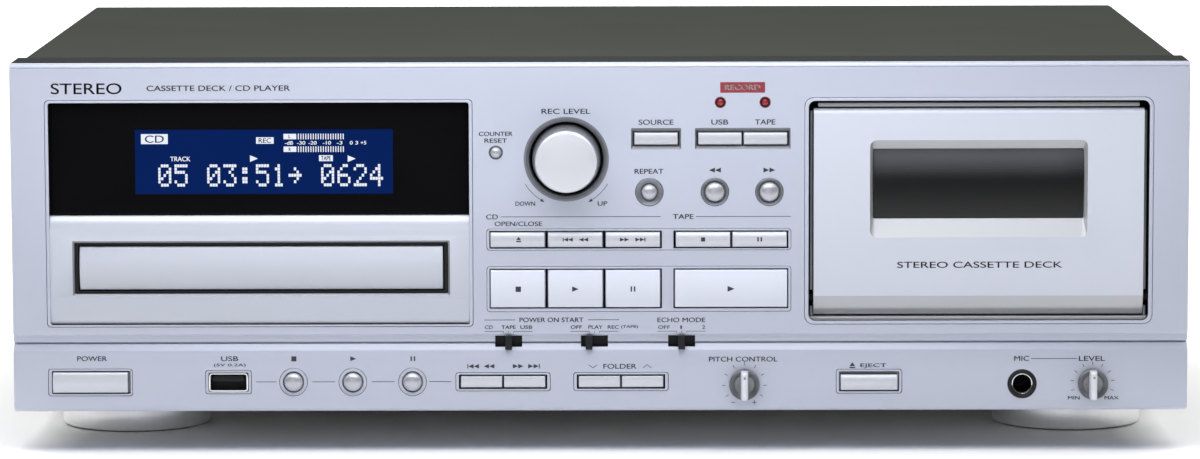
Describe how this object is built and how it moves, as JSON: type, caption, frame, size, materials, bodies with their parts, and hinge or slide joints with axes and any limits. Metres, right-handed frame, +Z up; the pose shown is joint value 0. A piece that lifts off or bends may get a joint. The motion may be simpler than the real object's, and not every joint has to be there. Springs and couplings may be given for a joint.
{
  "type": "cassette deck",
  "caption": "Full-width silver player and recorder with a sliding disc tray, a tilting cassette door, a display window, push keys, knobs and slide switches.",
  "frame": {"origin": "on the surface under the feet, at the middle of the object's box", "axes": "+Z up, front faces -Y, +X to the right seen from the front"},
  "size_m": [0.435, 0.307, 0.145],
  "materials": {
    "panel_silver": "satin",
    "door_silver": "satin",
    "drawer_silver": "satin",
    "key_silver": "satin metallic",
    "knob_silver": "turned",
    "cover_grey": "satin",
    "pan_steel": "zinc plated",
    "foot_silver": "metallic",
    "display_window": "clear smoked",
    "door_window": "clear smoked",
    "display_screen": "lit",
    "socket_metal": "polished",
    "socket_black": "moulded",
    "lamp_red": "clear red",
    "well_black": "moulded",
    "mechanism_black": "moulded",
    "tray_black": "fine grained",
    "holder_steel": "plated",
    "spindle_black": "moulded",
    "flywheel_steel": "turned",
    "head_steel": "plated",
    "transformer_copper": "lacquered",
    "board_green": "lacquered",
    "switch_black": "moulded"
  },
  "bodies": {
    "chassis": {"front_panel": "panel_silver", "top_cover": "cover_grey", "chassis_base": "pan_steel", "rear_panel": "cover_grey", "foot_front_left": "foot_silver", "foot_front_right": "foot_silver", "foot_rear_left": "foot_silver", "foot_rear_right": "foot_silver", "display_window": "display_window", "display_module": "display_screen", "drawer_bezel": "panel_silver", "usb_port": "socket_metal", "mic_jack": "socket_black", "record_lamps": "lamp_red", "cassette_well": "well_black", "power_transformer": "transformer_copper", "main_board": "board_green", "disc_mechanism_frame": "mechanism_black", "mains_inlet": "socket_black"},
    "tray": {"drawer_front": "drawer_silver", "disc_tray": "tray_black"},
    "turntable": {"disc_turntable": "mechanism_black"},
    "door": {"cassette_door": "door_silver", "door_window": "door_window", "cassette_holder": "holder_steel"},
    "supply_reel": {"supply_spindle": "spindle_black"},
    "takeup_reel": {"takeup_spindle": "spindle_black"},
    "capstan": {"capstan_flywheel": "flywheel_steel"},
    "head": {"head_carriage": "head_steel"},
    "cd_open_close_button": {"cd_open_close_button": "key_silver"},
    "cd_skip_back_button": {"cd_skip_back_button": "key_silver"},
    "cd_skip_forward_button": {"cd_skip_forward_button": "key_silver"},
    "tape_stop_button": {"tape_stop_button": "key_silver"},
    "tape_pause_button": {"tape_pause_button": "key_silver"},
    "cd_stop_button": {"cd_stop_button": "key_silver"},
    "cd_play_button": {"cd_play_button": "key_silver"},
    "cd_pause_button": {"cd_pause_button": "key_silver"},
    "tape_play_button": {"tape_play_button": "key_silver"},
    "source_button": {"source_button": "key_silver"},
    "record_usb_button": {"record_usb_button": "key_silver"},
    "record_tape_button": {"record_tape_button": "key_silver"},
    "usb_skip_back_button": {"usb_skip_back_button": "key_silver"},
    "usb_skip_forward_button": {"usb_skip_forward_button": "key_silver"},
    "folder_down_button": {"folder_down_button": "key_silver"},
    "folder_up_button": {"folder_up_button": "key_silver"},
    "power_button": {"power_button": "key_silver"},
    "eject_button": {"eject_button": "key_silver"},
    "counter_reset_button": {"counter_reset_button": "key_silver"},
    "repeat_button": {"repeat_button": "key_silver"},
    "tape_rewind_button": {"tape_rewind_button": "key_silver"},
    "tape_forward_button": {"tape_forward_button": "key_silver"},
    "usb_stop_button": {"usb_stop_button": "key_silver"},
    "usb_play_button": {"usb_play_button": "key_silver"},
    "usb_pause_button": {"usb_pause_button": "key_silver"},
    "source_slide_switch": {"source_slide_switch": "switch_black"},
    "start_mode_slide_switch": {"start_mode_slide_switch": "switch_black"},
    "echo_slide_switch": {"echo_slide_switch": "switch_black"},
    "record_level_knob": {"record_level_knob": "knob_silver"},
    "pitch_knob": {"pitch_knob": "knob_silver"},
    "mic_level_knob": {"mic_level_knob": "knob_silver"}
  },
  "joints": [
    {"name": "tray_slide", "type": "slide", "parent": "chassis", "child": "tray", "axis": [0, -1, 0], "range_m": [0, 0.14]},
    {"name": "turntable_spin", "type": "hinge", "parent": "chassis", "child": "turntable", "pos_m": [-0.1253, -0.0715, 0.059], "axis": [0, 0, 1], "continuous": true},
    {"name": "door_hinge", "type": "hinge", "parent": "chassis", "child": "door", "pos_m": [0.1399, -0.1345, 0.057], "axis": [1, 0, 0], "range_deg": [0, 28]},
    {"name": "supply_spin", "type": "hinge", "parent": "chassis", "child": "supply_reel", "pos_m": [0.11865, -0.1175, 0.096], "axis": [0, 1, 0], "continuous": true},
    {"name": "takeup_spin", "type": "hinge", "parent": "chassis", "child": "takeup_reel", "pos_m": [0.16115, -0.1175, 0.096], "axis": [0, 1, 0], "continuous": true},
    {"name": "capstan_spin", "type": "hinge", "parent": "chassis", "child": "capstan", "pos_m": [0.1619, -0.1175, 0.0685], "axis": [0, 1, 0], "continuous": true},
    {"name": "head_slide", "type": "slide", "parent": "chassis", "child": "head", "axis": [0, 0, 1], "range_m": [0, 0.006]},
    {"name": "cd_open_close_push", "type": "slide", "parent": "chassis", "child": "cd_open_close_button", "axis": [0, 1, 0], "range_m": [0, 0.001], "stiffness_N_per_m": 250, "springref_m": -0.001},
    {"name": "cd_skip_back_push", "type": "slide", "parent": "chassis", "child": "cd_skip_back_button", "axis": [0, 1, 0], "range_m": [0, 0.001], "stiffness_N_per_m": 250, "springref_m": -0.001},
    {"name": "cd_skip_forward_push", "type": "slide", "parent": "chassis", "child": "cd_skip_forward_button", "axis": [0, 1, 0], "range_m": [0, 0.001], "stiffness_N_per_m": 250, "springref_m": -0.001},
    {"name": "tape_stop_push", "type": "slide", "parent": "chassis", "child": "tape_stop_button", "axis": [0, 1, 0], "range_m": [0, 0.001], "stiffness_N_per_m": 250, "springref_m": -0.001},
    {"name": "tape_pause_push", "type": "slide", "parent": "chassis", "child": "tape_pause_button", "axis": [0, 1, 0], "range_m": [0, 0.001], "stiffness_N_per_m": 250, "springref_m": -0.001},
    {"name": "cd_stop_push", "type": "slide", "parent": "chassis", "child": "cd_stop_button", "axis": [0, 1, 0], "range_m": [0, 0.001], "stiffness_N_per_m": 250, "springref_m": -0.001},
    {"name": "cd_play_push", "type": "slide", "parent": "chassis", "child": "cd_play_button", "axis": [0, 1, 0], "range_m": [0, 0.001], "stiffness_N_per_m": 250, "springref_m": -0.001},
    {"name": "cd_pause_push", "type": "slide", "parent": "chassis", "child": "cd_pause_button", "axis": [0, 1, 0], "range_m": [0, 0.001], "stiffness_N_per_m": 250, "springref_m": -0.001},
    {"name": "tape_play_push", "type": "slide", "parent": "chassis", "child": "tape_play_button", "axis": [0, 1, 0], "range_m": [0, 0.001], "stiffness_N_per_m": 250, "springref_m": -0.001},
    {"name": "source_push", "type": "slide", "parent": "chassis", "child": "source_button", "axis": [0, 1, 0], "range_m": [0, 0.001], "stiffness_N_per_m": 250, "springref_m": -0.001},
    {"name": "record_usb_push", "type": "slide", "parent": "chassis", "child": "record_usb_button", "axis": [0, 1, 0], "range_m": [0, 0.001], "stiffness_N_per_m": 250, "springref_m": -0.001},
    {"name": "record_tape_push", "type": "slide", "parent": "chassis", "child": "record_tape_button", "axis": [0, 1, 0], "range_m": [0, 0.001], "stiffness_N_per_m": 250, "springref_m": -0.001},
    {"name": "usb_skip_back_push", "type": "slide", "parent": "chassis", "child": "usb_skip_back_button", "axis": [0, 1, 0], "range_m": [0, 0.001], "stiffness_N_per_m": 250, "springref_m": -0.001},
    {"name": "usb_skip_forward_push", "type": "slide", "parent": "chassis", "child": "usb_skip_forward_button", "axis": [0, 1, 0], "range_m": [0, 0.001], "stiffness_N_per_m": 250, "springref_m": -0.001},
    {"name": "folder_down_push", "type": "slide", "parent": "chassis", "child": "folder_down_button", "axis": [0, 1, 0], "range_m": [0, 0.001], "stiffness_N_per_m": 250, "springref_m": -0.001},
    {"name": "folder_up_push", "type": "slide", "parent": "chassis", "child": "folder_up_button", "axis": [0, 1, 0], "range_m": [0, 0.001], "stiffness_N_per_m": 250, "springref_m": -0.001},
    {"name": "power_push", "type": "slide", "parent": "chassis", "child": "power_button", "axis": [0, 1, 0], "range_m": [0, 0.0018], "stiffness_N_per_m": 400, "springref_m": -0.001},
    {"name": "eject_push", "type": "slide", "parent": "chassis", "child": "eject_button", "axis": [0, 1, 0], "range_m": [0, 0.0018], "stiffness_N_per_m": 400, "springref_m": -0.001},
    {"name": "counter_reset_push", "type": "slide", "parent": "chassis", "child": "counter_reset_button", "axis": [0, 1, 0], "range_m": [0, 0.001], "stiffness_N_per_m": 250, "springref_m": -0.001},
    {"name": "repeat_push", "type": "slide", "parent": "chassis", "child": "repeat_button", "axis": [0, 1, 0], "range_m": [0, 0.001], "stiffness_N_per_m": 250, "springref_m": -0.001},
    {"name": "tape_rewind_push", "type": "slide", "parent": "chassis", "child": "tape_rewind_button", "axis": [0, 1, 0], "range_m": [0, 0.001], "stiffness_N_per_m": 250, "springref_m": -0.001},
    {"name": "tape_forward_push", "type": "slide", "parent": "chassis", "child": "tape_forward_button", "axis": [0, 1, 0], "range_m": [0, 0.001], "stiffness_N_per_m": 250, "springref_m": -0.001},
    {"name": "usb_stop_push", "type": "slide", "parent": "chassis", "child": "usb_stop_button", "axis": [0, 1, 0], "range_m": [0, 0.001], "stiffness_N_per_m": 250, "springref_m": -0.001},
    {"name": "usb_play_push", "type": "slide", "parent": "chassis", "child": "usb_play_button", "axis": [0, 1, 0], "range_m": [0, 0.001], "stiffness_N_per_m": 250, "springref_m": -0.001},
    {"name": "usb_pause_push", "type": "slide", "parent": "chassis", "child": "usb_pause_button", "axis": [0, 1, 0], "range_m": [0, 0.001], "stiffness_N_per_m": 250, "springref_m": -0.001},
    {"name": "source_slide", "type": "slide", "parent": "chassis", "child": "source_slide_switch", "axis": [1, 0, 0], "range_m": [-0.002, 0.002]},
    {"name": "start_mode_slide", "type": "slide", "parent": "chassis", "child": "start_mode_slide_switch", "axis": [1, 0, 0], "range_m": [0, 0.004]},
    {"name": "echo_slide", "type": "slide", "parent": "chassis", "child": "echo_slide_switch", "axis": [1, 0, 0], "range_m": [-0.002, 0.002]},
    {"name": "record_level_turn", "type": "hinge", "parent": "chassis", "child": "record_level_knob", "pos_m": [-0.0123, -0.1415, 0.1092], "axis": [0, -1, 0], "continuous": true},
    {"name": "pitch_turn", "type": "hinge", "parent": "chassis", "child": "pitch_knob", "pos_m": [0.0534, -0.1415, 0.0252], "axis": [0, -1, 0], "range_deg": [-140, 140]},
    {"name": "mic_level_turn", "type": "hinge", "parent": "chassis", "child": "mic_level_knob", "pos_m": [0.1824, -0.1415, 0.0252], "axis": [0, -1, 0], "range_deg": [-140, 140]}
  ]
}
